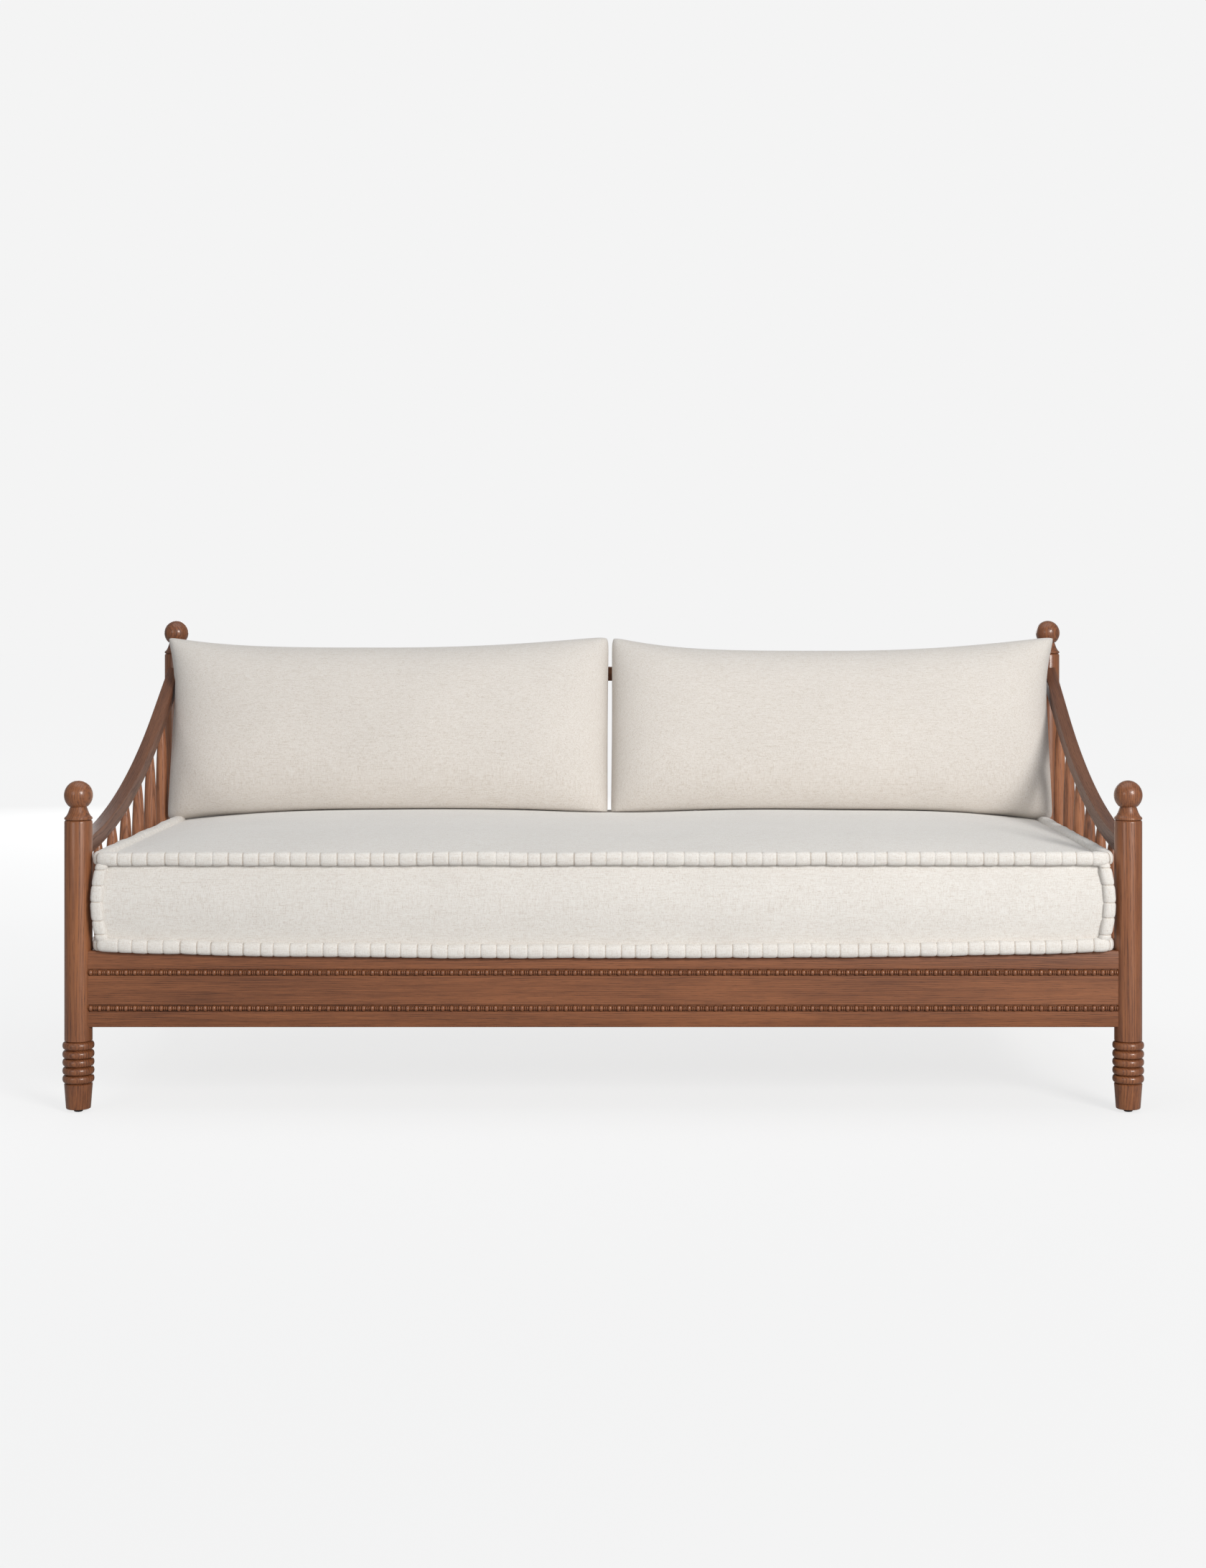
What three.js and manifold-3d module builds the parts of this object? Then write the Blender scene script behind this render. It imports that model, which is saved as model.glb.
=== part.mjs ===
// A daybed: four turned posts with finials, a moulded front rail, two curved spindle arms,
// a spindle back, a slatted base, a box mattress and two loose back cushions.
// Millimetres. +X is right, +Y is the back, +Z is up; the floor is Z = 0.
import * as THREE from 'three';
import { mergeVertices } from 'three/addons/utils/BufferGeometryUtils.js';
import Module from 'manifold-3d';

const wasm = await Module();
wasm.setup();

// ---- driving dimensions ----
const GAP = 0.3; // air left between neighbouring parts
const SIDES = [-1, 1]; // left and right, or front and back
const FRONT = -1;
const BACK = 1;

const POST_X = 1000; // post axes, either side of the middle
const POST_Y = 480;
const POST_R = 26.3;
const POST_SIDES = 16;
const RING_R = 30;
const GROOVE_R = 26;
const RING_HEIGHTS = [63, 78.5, 94.5, 110, 126.5];
const RING_PITCH = 15.8;
const FOOT_Z = 6; // underside of the wood
const FRONT_POST_TOP = 555;
const BACK_POST_TOP = 852;

const GLIDE_R = 8.5;
const NAIL_R = 1.6;
const NAIL_LONG = 18;

const SPIGOT_R = 9;
const SPIGOT_LONG = 24;

const RAIL_BOTTOM = 162.5;
const RAIL_TOP = 307.5;
const RAIL_THICK = 30;
const TENON = { thick: 12, tall: 100, deep: 16 };
const SMALL_TENON = { thick: 12, tall: 18, deep: 14 };

const MOULDING_HEIGHTS = { upper: 266.5, lower: 198.5 };
const MOULDING_TALL = 11;
const MOULDING_SEAT = 2; // depth of the groove that the moulding lies in
const MOULDING_PROUD = 4;

const TOP_RAIL_BOTTOM = 790;
const TOP_RAIL_TALL = 32;
const TOP_RAIL_THICK = 27;

const ARM_WIDE = 27.5;
const ARM_THICK = 32;
const ARM_RADIUS = 1800; // the top edge is an arc that runs into a straight slope
const ARM_LOW = { y: -575, z: 512.5 };
const ARM_ARC_END = 27.9 * Math.PI / 180;
const ARM_STEPS = 16;

const ARM_SPINDLES = 6;
const ARM_SPINDLE_PITCH = 125;
const BACK_SPINDLES = 12;
const BACK_SPINDLE_PITCH = 150;
const PIN_R = 4.6;
const PIN_LONG = 12;
const SPINDLE_SHAPE = [[0, 7.5], [0.2, 11.5], [0.45, 13.75], [0.65, 13], [0.85, 10.4], [1, 5.75]];

const SLATS = 10;
const SLAT_PITCH = 187;
const SLAT_WIDE = 89;
const SLAT_THICK = 18;
const CLEAT_WIDE = 30;
const CLEAT_TALL = 34;
const CLEAT_LONG = 1850;

const MATTRESS_X = 964; // half its length
const MATTRESS_FRONT = -509;
const MATTRESS_BACK = 455;
const MATTRESS_TOP = 499;
const MATTRESS_CROWN = 12;
const MATTRESS_ROUND = 22;

const CUSHION_TALL = 388;
const CUSHION_THICK = 184;
const CUSHION_LEAN = 17.5 * Math.PI / 180;
const CUSHION_FOOT_Y = 292;
const CUSHION_MIDDLE_X = 500;

const WOOD = { colour: 0x7c5340, roughness: 0.45 };
const PALE_WOOD = { colour: 0xc3a279, roughness: 0.7 };
const LINEN = { colour: 0xddd4c8, roughness: 0.95 };
const BLACK = { colour: 0x1a1a1a, roughness: 0.5 };

// ---- shapes ----

// Joins the corners that meet, drops triangles with no area and faces the surface outwards.
function clean(geometry) {
  geometry.deleteAttribute('normal');
  geometry.deleteAttribute('uv');
  const merged = mergeVertices(geometry, 1e-3);
  const corners = merged.index.array;
  const kept = [];
  for (let i = 0; i < corners.length; i += 3) {
    const [a, b, c] = [corners[i], corners[i + 1], corners[i + 2]];
    if (a !== b && b !== c && c !== a) kept.push(a, b, c);
  }
  if (signedVolume(merged, kept) < 0) kept.reverse();
  merged.setIndex(kept);
  return merged;
}

function signedVolume(geometry, corners) {
  const [a, b, c] = [new THREE.Vector3(), new THREE.Vector3(), new THREE.Vector3()];
  let total = 0;
  for (let i = 0; i < corners.length; i += 3) {
    a.fromBufferAttribute(geometry.attributes.position, corners[i]);
    b.fromBufferAttribute(geometry.attributes.position, corners[i + 1]);
    c.fromBufferAttribute(geometry.attributes.position, corners[i + 2]);
    total += a.dot(b.cross(c)) / 6;
  }
  return total;
}

function toSolid(geometry) {
  const tidy = clean(geometry);
  return new wasm.Manifold(new wasm.Mesh({
    numProp: 3,
    vertProperties: new Float32Array(tidy.attributes.position.array),
    triVerts: new Uint32Array(tidy.index.array),
  }));
}

function toGeometry(solid) {
  const mesh = solid.getMesh();
  const geometry = new THREE.BufferGeometry();
  geometry.setAttribute('position', new THREE.BufferAttribute(mesh.vertProperties, 3));
  geometry.setIndex([...mesh.triVerts]);
  return geometry;
}

// A box between two corners, made larger all round by grow.
function box(low, high, grow = 0) {
  const size = high.map((value, i) => value - low[i] + 2 * grow);
  const middle = high.map((value, i) => (value + low[i]) / 2);
  return new THREE.BoxGeometry(...size).translate(...middle);
}

// A turned shape from [radius, height] pairs; the first and last lie on the axis.
function turned(profile, sides, x = 0, y = 0) {
  const points = profile.map(([radius, height]) => new THREE.Vector2(radius, height));
  const geometry = new THREE.LatheGeometry(points, sides);
  return geometry.rotateX(Math.PI / 2).translate(x, y, 0);
}

function cylinder(radius, bottom, top, sides, x, y) {
  return turned([[0, bottom], [radius, bottom], [radius, top], [0, top]], sides, x, y);
}

// ---- joints that two parts share; grow makes the cutter for the mortise ----

// A tenon on the end of a part that runs along X.
function tenonAlongX(side, y, middleZ, tenon, grow = 0) {
  const inner = side * (POST_X - POST_R - 12);
  const outer = side * (POST_X - POST_R + tenon.deep + grow);
  const [low, high] = [Math.min(inner, outer), Math.max(inner, outer)];
  const half = tenon.tall / 2 + grow;
  const thick = tenon.thick / 2 + grow;
  return box([low, y - thick, middleZ - half], [high, y + thick, middleZ + half]);
}

// A tenon on the end of a part that runs along Y.
function tenonAlongY(side, x, middleZ, tenon, grow = 0) {
  const inner = side * (POST_Y - POST_R - 12);
  const outer = side * (POST_Y - POST_R + tenon.deep + grow);
  const [low, high] = [Math.min(inner, outer), Math.max(inner, outer)];
  const half = tenon.tall / 2 + grow;
  const thick = tenon.thick / 2 + grow;
  return box([x - thick, low, middleZ - half], [x + thick, high, middleZ + half]);
}

const RAIL_MIDDLE = (RAIL_BOTTOM + RAIL_TOP) / 2;
const TOP_RAIL_MIDDLE = TOP_RAIL_BOTTOM + TOP_RAIL_TALL / 2;

// ---- the curve of an arm ----

// Height and slope angle of the arm's top edge at a distance y.
function armTop(y) {
  const arcEndY = ARM_LOW.y + ARM_RADIUS * Math.sin(ARM_ARC_END);
  const reach = Math.min(y, arcEndY) - ARM_LOW.y;
  const angle = Math.asin(reach / ARM_RADIUS);
  const arc = ARM_LOW.z + ARM_RADIUS * (1 - Math.cos(angle));
  const straight = Math.max(0, y - arcEndY) * Math.tan(ARM_ARC_END);
  return { z: arc + straight, angle };
}

function armMiddle(y) {
  const { z, angle } = armTop(y);
  return z - ARM_THICK / 2 / Math.cos(angle);
}

// ---- turned parts ----

function postProfile(top) {
  const profile = [[0, FOOT_Z], [23, FOOT_Z], [23.4, FOOT_Z + 3], [26.9, 55]];
  for (const height of RING_HEIGHTS) {
    profile.push([GROOVE_R, height - RING_PITCH / 2]);
    profile.push([RING_R, height]);
  }
  const last = RING_HEIGHTS[RING_HEIGHTS.length - 1];
  profile.push([GROOVE_R, last + RING_PITCH / 2]);
  profile.push([POST_R, last + RING_PITCH / 2 + 3]);
  profile.push([POST_R, top - 3]);
  profile.push([POST_R - 2.3, top]);
  profile.push([0, top]);
  return profile;
}

function post(sideX, sideY) {
  const [x, y] = [sideX * POST_X, sideY * POST_Y];
  const top = sideY < 0 ? FRONT_POST_TOP : BACK_POST_TOP;
  const endY = sideY * (POST_Y - POST_R);
  const cutters = [
    cylinder(SPIGOT_R + GAP, top - SPIGOT_LONG - GAP, top + 5, 12, x, y),
    cylinder(NAIL_R + GAP, FOOT_Z - 5, FOOT_Z + NAIL_LONG + GAP, 8, x, y),
    tenonAlongX(sideX, y, RAIL_MIDDLE, TENON, GAP),
    tenonAlongY(sideY, x, RAIL_MIDDLE, TENON, GAP),
    tenonAlongY(sideY, x, armMiddle(endY), SMALL_TENON, GAP),
  ];
  if (sideY > 0) cutters.push(tenonAlongX(sideX, y, TOP_RAIL_MIDDLE, SMALL_TENON, GAP));
  let solid = toSolid(turned(postProfile(top), POST_SIDES, x, y));
  for (const cutter of cutters) solid = solid.subtract(toSolid(cutter));
  return toGeometry(solid);
}

// Ring, cone, neck and ball in one turning, with a spigot that stands in the post.
function finial(sideX, sideY) {
  const base = (sideY < 0 ? FRONT_POST_TOP : BACK_POST_TOP) + GAP;
  const profile = [[0, -SPIGOT_LONG], [SPIGOT_R, -SPIGOT_LONG], [SPIGOT_R, 0], [24, 0],
    [26.5, 2.2], [26.5, 4.6], [23.8, 7], [20.5, 13], [17.2, 21], [15.2, 26.5]];
  for (const degrees of [-46, -24, 0, 24, 48, 70]) {
    const angle = degrees * Math.PI / 180;
    profile.push([27 * Math.cos(angle), 49.7 + 27 * Math.sin(angle)]);
  }
  profile.push([0, 76.7]);
  const raised = profile.map(([radius, height]) => [radius, base + height]);
  return clean(turned(raised, 12, sideX * POST_X, sideY * POST_Y));
}

function glide(sideX, sideY) {
  const disc = FOOT_Z - GAP;
  const tip = FOOT_Z + NAIL_LONG;
  const profile = [[0, 0], [GLIDE_R, 0], [GLIDE_R, disc], [NAIL_R, disc], [NAIL_R, tip], [0, tip]];
  return clean(turned(profile, 12, sideX * POST_X, sideY * POST_Y));
}

// A spindle between two heights, with a pin at each end.
function spindle(x, y, bottom, top, topPinLong) {
  const profile = [[0, bottom - PIN_LONG], [PIN_R, bottom - PIN_LONG], [PIN_R, bottom + GAP]];
  for (const [share, radius] of SPINDLE_SHAPE) {
    profile.push([radius, bottom + GAP + share * (top - bottom - 2 * GAP)]);
  }
  profile.push([PIN_R, top - GAP]);
  profile.push([PIN_R, top + topPinLong]);
  profile.push([0, top + topPinLong]);
  return clean(turned(profile, 8, x, y));
}

function pinHole(x, y, bottom, top) {
  return cylinder(PIN_R + GAP, bottom, top, 8, x, y);
}

// ---- rails ----

// Rounds out the end of a part where it meets the shaft of each post.
function copeToPosts(solid, posts) {
  let coped = solid;
  for (const [sideX, sideY] of posts) {
    const shaft = cylinder(POST_R + GAP, 100, 900, POST_SIDES, sideX * POST_X, sideY * POST_Y);
    coped = coped.subtract(toSolid(shaft));
  }
  return coped;
}

// A rail that runs along X between two posts, with a tenon at each end.
function longRail(sideY, bottom, top, thick, tenon) {
  const y = sideY * POST_Y;
  const bar = box([-POST_X, y - thick / 2, bottom], [POST_X, y + thick / 2, top]);
  let solid = copeToPosts(toSolid(bar), SIDES.map((sideX) => [sideX, sideY]));
  solid = keepBetween(solid, [POST_X - 18, 2000, 2000]);
  for (const sideX of SIDES) {
    solid = solid.add(toSolid(tenonAlongX(sideX, y, (bottom + top) / 2, tenon)));
  }
  return solid;
}

// What lies within half-lengths of the middle.
function keepBetween(solid, half) {
  return solid.intersect(toSolid(box(half.map((value) => -value), half)));
}

function frontRail() {
  let solid = longRail(FRONT, RAIL_BOTTOM, RAIL_TOP, RAIL_THICK, TENON);
  const face = -POST_Y - RAIL_THICK / 2;
  const half = MOULDING_TALL / 2 + GAP;
  for (const z of Object.values(MOULDING_HEIGHTS)) {
    const groove = box([-POST_X, face - 5, z - half], [POST_X, face + MOULDING_SEAT, z + half]);
    solid = solid.subtract(toSolid(groove));
  }
  return toGeometry(solid);
}

// A half-round strip along the front rail.
function moulding(z) {
  const face = -POST_Y - RAIL_THICK / 2;
  const back = face + MOULDING_SEAT - GAP;
  const half = MOULDING_TALL / 2;
  const reach = POST_X - Math.sqrt(POST_R ** 2 - (POST_Y + back) ** 2) - 2 * GAP;
  const outline = new THREE.Shape();
  outline.moveTo(back, z - half);
  outline.lineTo(back, z + half);
  for (const degrees of [90, 60, 30, 0, -30, -60, -90]) {
    const angle = degrees * Math.PI / 180;
    outline.lineTo(face - MOULDING_PROUD * Math.cos(angle), z + half * Math.sin(angle));
  }
  return clean(alongX(outline, -reach, reach));
}

// Sweeps an outline drawn in Y and Z from one X to another.
function alongX(outline, from, to) {
  const geometry = new THREE.ExtrudeGeometry(outline, { depth: to - from, bevelEnabled: false });
  const turn = new THREE.Matrix4().makeBasis(
    new THREE.Vector3(0, 1, 0),
    new THREE.Vector3(0, 0, 1),
    new THREE.Vector3(1, 0, 0),
  );
  return geometry.applyMatrix4(turn).translate(from, 0, 0);
}

function backLowerRail() {
  let solid = longRail(BACK, RAIL_BOTTOM, RAIL_TOP, RAIL_THICK, TENON);
  for (const x of backSpindlePlaces()) {
    const hole = pinHole(x, POST_Y, RAIL_TOP - PIN_LONG - GAP, RAIL_TOP + 5);
    solid = solid.subtract(toSolid(hole));
  }
  return toGeometry(solid);
}

function backTopRail() {
  const top = TOP_RAIL_BOTTOM + TOP_RAIL_TALL;
  let solid = longRail(BACK, TOP_RAIL_BOTTOM, top, TOP_RAIL_THICK, SMALL_TENON);
  for (const x of backSpindlePlaces()) {
    const hole = pinHole(x, POST_Y, TOP_RAIL_BOTTOM - 5, TOP_RAIL_BOTTOM + PIN_LONG + GAP);
    solid = solid.subtract(toSolid(hole));
  }
  return toGeometry(solid);
}

function sideRail(sideX) {
  const x = sideX * POST_X;
  const half = RAIL_THICK / 2;
  const bar = box([x - half, -POST_Y, RAIL_BOTTOM], [x + half, POST_Y, RAIL_TOP]);
  let solid = copeToPosts(toSolid(bar), SIDES.map((sideY) => [sideX, sideY]));
  solid = keepBetween(solid, [2000, POST_Y - 18, 2000]);
  for (const sideY of SIDES) {
    solid = solid.add(toSolid(tenonAlongY(sideY, x, RAIL_MIDDLE, TENON)));
  }
  for (const y of armSpindlePlaces()) {
    const hole = pinHole(x, y, RAIL_TOP - PIN_LONG - GAP, RAIL_TOP + 5);
    solid = solid.subtract(toSolid(hole));
  }
  return toGeometry(solid);
}

// ---- arms and spindles ----

function placesAlong(count, pitch) {
  return Array.from({ length: count }, (_, i) => (i - (count - 1) / 2) * pitch);
}

function armSpindlePlaces() {
  return placesAlong(ARM_SPINDLES, ARM_SPINDLE_PITCH);
}

function backSpindlePlaces() {
  return placesAlong(BACK_SPINDLES, BACK_SPINDLE_PITCH);
}

// Height of the arm's underside above a spindle's axis.
function armUnderside(y) {
  const { z, angle } = armTop(y);
  return z - ARM_THICK / Math.cos(angle);
}

// The arm's underside falls towards the front, so a spindle stops short by this much.
function spindleRelief(y) {
  return SPINDLE_SHAPE[SPINDLE_SHAPE.length - 1][1] * Math.tan(armTop(y).angle);
}

function arm(sideX) {
  const x = sideX * POST_X;
  const reach = POST_Y - 10;
  const outline = new THREE.Shape();
  const tops = [];
  const bottoms = [];
  for (let i = 0; i <= ARM_STEPS; i += 1) {
    const y = -reach + (2 * reach * i) / ARM_STEPS;
    const { z, angle } = armTop(y);
    tops.push([y, z]);
    bottoms.push([y, z - ARM_THICK / Math.cos(angle)]);
  }
  const loop = [...tops, ...bottoms.reverse()];
  outline.moveTo(...loop[0]);
  for (const point of loop.slice(1)) outline.lineTo(...point);
  const bar = alongX(outline, x - ARM_WIDE / 2, x + ARM_WIDE / 2);
  let solid = copeToPosts(toSolid(bar), SIDES.map((sideY) => [sideX, sideY]));
  solid = keepBetween(solid, [2000, POST_Y - 18, 2000]);
  for (const sideY of SIDES) {
    const z = armMiddle(sideY * (POST_Y - POST_R));
    solid = solid.add(toSolid(tenonAlongY(sideY, x, z, SMALL_TENON)));
  }
  for (const y of armSpindlePlaces()) {
    const under = armUnderside(y);
    solid = solid.subtract(toSolid(pinHole(x, y, under - 20, under + PIN_LONG + GAP)));
  }
  return toGeometry(solid);
}

function armSpindle(sideX, y) {
  const relief = spindleRelief(y);
  return spindle(sideX * POST_X, y, RAIL_TOP, armUnderside(y) - relief, PIN_LONG + relief);
}

function backSpindle(x) {
  return spindle(x, POST_Y, RAIL_TOP, TOP_RAIL_BOTTOM, PIN_LONG);
}

// ---- slatted base ----

const CLEAT_TOP = RAIL_TOP - SLAT_THICK;

function cleat(sideY) {
  const outer = sideY * (POST_Y - RAIL_THICK / 2 - GAP);
  const inner = outer - sideY * CLEAT_WIDE;
  const [low, high] = [Math.min(inner, outer), Math.max(inner, outer)];
  return clean(box(
    [-CLEAT_LONG / 2, low, CLEAT_TOP - CLEAT_TALL],
    [CLEAT_LONG / 2, high, CLEAT_TOP - GAP],
  ));
}

function slat(x) {
  const reach = POST_Y - RAIL_THICK / 2 - 3;
  const half = SLAT_WIDE / 2;
  return clean(box([x - half, -reach, CLEAT_TOP], [x + half, reach, RAIL_TOP]));
}

// ---- soft parts ----

// Grid lines from -half to half, closer together where the edge is rounded.
function gridLines(half, round, inner) {
  const lines = [-half, -half + 0.3 * round, -half + round];
  const flat = half - round;
  for (let i = 1; i < inner; i += 1) lines.push(-flat + (2 * flat * i) / inner);
  lines.push(flat, half - 0.3 * round, half);
  return lines;
}

function mattress() {
  const half = [
    MATTRESS_X,
    (MATTRESS_BACK - MATTRESS_FRONT) / 2,
    (MATTRESS_TOP - RAIL_TOP - GAP) / 2,
  ];
  const middle = [0, (MATTRESS_BACK + MATTRESS_FRONT) / 2, RAIL_TOP + GAP + half[2]];
  const lines = half.map((value, i) => gridLines(value, MATTRESS_ROUND, [9, 5, 1][i]));
  const counts = lines.map((values) => values.length - 1);
  const geometry = new THREE.BoxGeometry(2, 2, 2, ...counts);
  const places = geometry.attributes.position;
  for (let i = 0; i < places.count; i += 1) {
    const raw = [places.getX(i), places.getY(i), places.getZ(i)];
    const point = raw.map((value, k) => lines[k][Math.round(((value + 1) / 2) * counts[k])]);
    const [x, y, z] = roundCorner(point, half);
    const crown = (1 - (x / half[0]) ** 2) * (1 - (y / half[1]) ** 2) * MATTRESS_CROWN;
    places.setXYZ(i, x + middle[0], y + middle[1], z + middle[2] + (z > 0 ? crown : 0));
  }
  return clean(geometry);
}

// Pulls a point of a box's surface in so that its edges and corners are rounded.
function roundCorner(point, half) {
  const core = point.map((value, i) => {
    const limit = half[i] - MATTRESS_ROUND;
    return Math.max(-limit, Math.min(limit, value));
  });
  const out = point.map((value, i) => value - core[i]);
  const length = Math.hypot(...out);
  return core.map((value, i) => value + (out[i] / length) * MATTRESS_ROUND);
}

// How far the cushion's ends reach from the middle of the bed, outwards and inwards. v runs
// from -1 at its foot to 1 at its top; the top corners stand out over the arm.
function cushionEnds(v) {
  const ear = Math.max(0, (v - 0.4) / 0.6) ** 2;
  const heel = Math.max(0, -v) ** 2;
  return { outer: 972 + 30 * ear + 8 * heel, inner: 6 + 8 * (1 - v * v) };
}

// Two quilted faces that meet in a knife edge all round.
function backCushion(sideX) {
  const [across, up] = [14, 10];
  const base = MATTRESS_TOP + MATTRESS_CROWN + GAP;
  const lean = new THREE.Vector2(Math.sin(CUSHION_LEAN), Math.cos(CUSHION_LEAN));
  const geometry = new THREE.BoxGeometry(2, 2, 2, across, up, 1);
  const places = geometry.attributes.position;
  for (let i = 0; i < places.count; i += 1) {
    const u = Math.sin(places.getX(i) * Math.PI / 2);
    const v = Math.sin(places.getY(i) * Math.PI / 2);
    const face = places.getZ(i);
    const { outer, inner } = cushionEnds(v);
    const end = u > 0 ? outer : inner;
    const reach = CUSHION_MIDDLE_X + Math.abs(u) * (end - CUSHION_MIDDLE_X);
    const sag = v > 0 ? 14 * (1 - u ** 2) * v : 0;
    const along = (v + 1) * CUSHION_TALL / 2 - sag;
    const fill = Math.max(0, (1 - u ** 4) * (1 - v ** 4)) ** 0.65;
    const proud = -face * fill * CUSHION_THICK / 2;
    places.setXYZ(
      i,
      sideX * reach,
      CUSHION_FOOT_Y + along * lean.x + proud * lean.y,
      base + along * lean.y - proud * lean.x,
    );
  }
  return clean(geometry);
}

// ---- the assembly ----

const group = new THREE.Group();

function addPart(name, geometry, { colour, roughness }) {
  geometry.computeVertexNormals();
  const material = new THREE.MeshStandardMaterial({ color: colour, roughness, metalness: 0 });
  const mesh = new THREE.Mesh(geometry, material);
  mesh.name = name;
  group.add(mesh);
}

function hand(sideX) {
  return sideX < 0 ? 'left' : 'right';
}

for (const sideY of SIDES) {
  for (const sideX of SIDES) {
    const place = `${sideY < 0 ? 'front' : 'back'}_${hand(sideX)}`;
    addPart(`post_${place}`, post(sideX, sideY), WOOD);
    addPart(`finial_${place}`, finial(sideX, sideY), WOOD);
    addPart(`glide_${place}`, glide(sideX, sideY), BLACK);
  }
}
addPart('front_rail', frontRail(), WOOD);
addPart('moulding_upper', moulding(MOULDING_HEIGHTS.upper), WOOD);
addPart('moulding_lower', moulding(MOULDING_HEIGHTS.lower), WOOD);
addPart('back_lower_rail', backLowerRail(), WOOD);
addPart('back_top_rail', backTopRail(), WOOD);
for (const sideX of SIDES) {
  addPart(`side_rail_${hand(sideX)}`, sideRail(sideX), WOOD);
  addPart(`arm_${hand(sideX)}`, arm(sideX), WOOD);
  armSpindlePlaces().forEach((y, i) => {
    addPart(`arm_spindle_${hand(sideX)}_${i + 1}`, armSpindle(sideX, y), WOOD);
  });
}
backSpindlePlaces().forEach((x, i) => {
  addPart(`back_spindle_${i + 1}`, backSpindle(x), WOOD);
});
addPart('cleat_front', cleat(FRONT), PALE_WOOD);
addPart('cleat_back', cleat(BACK), PALE_WOOD);
placesAlong(SLATS, SLAT_PITCH).forEach((x, i) => {
  addPart(`slat_${i + 1}`, slat(x), PALE_WOOD);
});
addPart('mattress', mattress(), LINEN);
for (const sideX of SIDES) {
  addPart(`back_cushion_${hand(sideX)}`, backCushion(sideX), LINEN);
}

export default group;
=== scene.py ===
"""The looks of the daybed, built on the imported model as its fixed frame."""
import math
import random

import bmesh
import bpy
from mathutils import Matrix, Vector, noise


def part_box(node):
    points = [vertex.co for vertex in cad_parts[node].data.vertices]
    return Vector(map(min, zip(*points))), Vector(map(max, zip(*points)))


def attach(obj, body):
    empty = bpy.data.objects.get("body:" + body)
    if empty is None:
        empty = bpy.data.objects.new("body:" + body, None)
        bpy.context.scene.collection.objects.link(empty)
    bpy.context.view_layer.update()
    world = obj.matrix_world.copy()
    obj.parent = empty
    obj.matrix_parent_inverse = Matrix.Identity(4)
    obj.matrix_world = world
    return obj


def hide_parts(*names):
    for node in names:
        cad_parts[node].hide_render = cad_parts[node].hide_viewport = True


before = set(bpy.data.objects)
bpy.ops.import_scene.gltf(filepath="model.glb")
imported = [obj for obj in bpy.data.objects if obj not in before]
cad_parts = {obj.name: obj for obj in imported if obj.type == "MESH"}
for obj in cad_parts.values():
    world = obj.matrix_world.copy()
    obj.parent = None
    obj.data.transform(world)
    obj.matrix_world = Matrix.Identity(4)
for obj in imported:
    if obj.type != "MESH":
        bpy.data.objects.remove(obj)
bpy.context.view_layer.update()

# Sizes are in millimetres and become metres where a mesh is made.
MM = 0.001

BOXES = {}  # node names and their corners, kept so that each is worked out once


def corners(node):
    """A node's lowest and highest corners in millimetres."""
    if node not in BOXES:
        BOXES[node] = [tuple(Vector(corner) / MM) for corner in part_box(node)]
    low, high = BOXES[node]
    return Vector(low), Vector(high)


def middle(node):
    low, high = corners(node)
    return (low + high) / 2


# ---------------------------------------------------------------- camera and light

CAMERA_X = 0.098
CAMERA_HEIGHT = 0.970
CAMERA_AWAY = 4.687  # from the axes of the front posts
LENS = 56.46
SHIFT = (-0.0330, -0.1159)
RING_R = 30  # the posts' widest radius


def make_camera():
    """Level and square to the front, with the shift that keeps the uprights upright."""
    front_posts = corners("post_front_left")[0].y + RING_R
    data = bpy.data.cameras.new("camera")
    data.sensor_fit = "VERTICAL"
    data.sensor_height = 36
    data.lens = LENS
    data.shift_x, data.shift_y = SHIFT
    data.clip_end = 200
    camera = bpy.data.objects.new("camera", data)
    camera.location = (CAMERA_X, front_posts * MM - CAMERA_AWAY, CAMERA_HEIGHT)
    camera.rotation_euler = (math.radians(90), 0, 0)
    bpy.context.collection.objects.link(camera)
    bpy.context.scene.camera = camera


def add_light(name, place, target, size, power, colour=(1, 1, 1)):
    data = bpy.data.lights.new(name, "AREA")
    data.color = colour
    data.shape = "RECTANGLE"
    data.size, data.size_y = size
    data.energy = power
    lamp = bpy.data.objects.new(name, data)
    lamp.location = place
    aim = Vector(target) - Vector(place)
    lamp.rotation_euler = aim.to_track_quat("-Z", "Y").to_euler()
    bpy.context.collection.objects.link(lamp)


BACKDROP = 0.905  # the pale tone that the camera sees behind and under the daybed
AMBIENT = 0.3
LIT_CENTRE = (1.2, -3.8, 0)  # where the floor's own glow is least
GLOW_REACH = 14.0  # metres from there to where the glow is full


def make_studio():
    world = bpy.data.worlds.new("studio")
    world.use_nodes = True
    tree = world.node_tree
    tree.nodes.clear()
    out = tree.nodes.new("ShaderNodeOutputWorld")
    seen = tree.nodes.new("ShaderNodeBackground")
    seen.inputs["Color"].default_value = (BACKDROP, BACKDROP, BACKDROP, 1)
    lit = tree.nodes.new("ShaderNodeBackground")
    lit.inputs["Strength"].default_value = AMBIENT
    lit.inputs["Color"].default_value = (0.97, 0.985, 1.0, 1)
    split_by_camera_ray(tree, lit, seen, out)
    bpy.context.scene.world = world
    bpy.context.scene.view_settings.view_transform = "Standard"
    add_light("key", (3.7, -6.3, 3.2), (0, 0, 0.45), (2.2, 2.0), 420, (1.0, 0.985, 0.965))
    add_light("fill", (-4.4, -6.4, 2.4), (0, 0, 0.5), (2.6, 2.6), 55)
    add_light("back", (-1.5, 6.5, 1.8), (0, 0, 0.5), (3.0, 2.0), 75)
    add_light("top", (0, -0.2, 5.5), (0, 0, 0), (6.0, 4.0), 70, (0.88, 0.94, 1.0))
    make_floor()


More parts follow.
